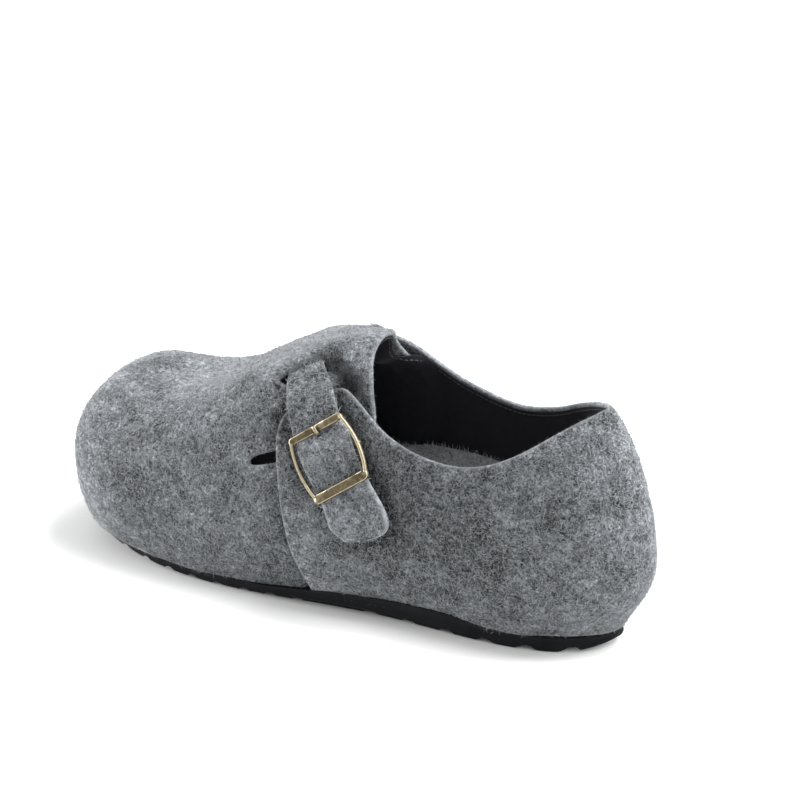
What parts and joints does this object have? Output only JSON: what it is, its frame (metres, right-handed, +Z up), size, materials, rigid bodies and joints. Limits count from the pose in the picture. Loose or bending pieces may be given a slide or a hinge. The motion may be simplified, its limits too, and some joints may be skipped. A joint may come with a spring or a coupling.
{
  "type": "closed felt clog",
  "caption": "Closed felt clog for the left foot: hollow rounded upper with a low collar, an instep strap held by a pin buckle, a cupped footbed and a lugged sole.",
  "frame": {"origin": "floor under the middle of the shoe's bounding box", "axes": "+X from toe to heel, +Y towards the inner side of the foot, +Z up"},
  "size_m": [0.262, 0.1017, 0.1108],
  "materials": {
    "outsole": "matte black, lugged",
    "footbed": "grey plush",
    "upper": "marled grey wool felt",
    "strap": "marled grey wool felt",
    "buckle_frame": "antique, worn edges",
    "buckle_prong": "antique",
    "rivet": "antique"
  },
  "bodies": {
    "root": {"outsole": "outsole", "footbed": "footbed", "upper": "upper", "strap": "strap", "buckle_frame": "buckle_frame", "buckle_prong": "buckle_prong", "rivet": "rivet"}
  },
  "joints": []
}
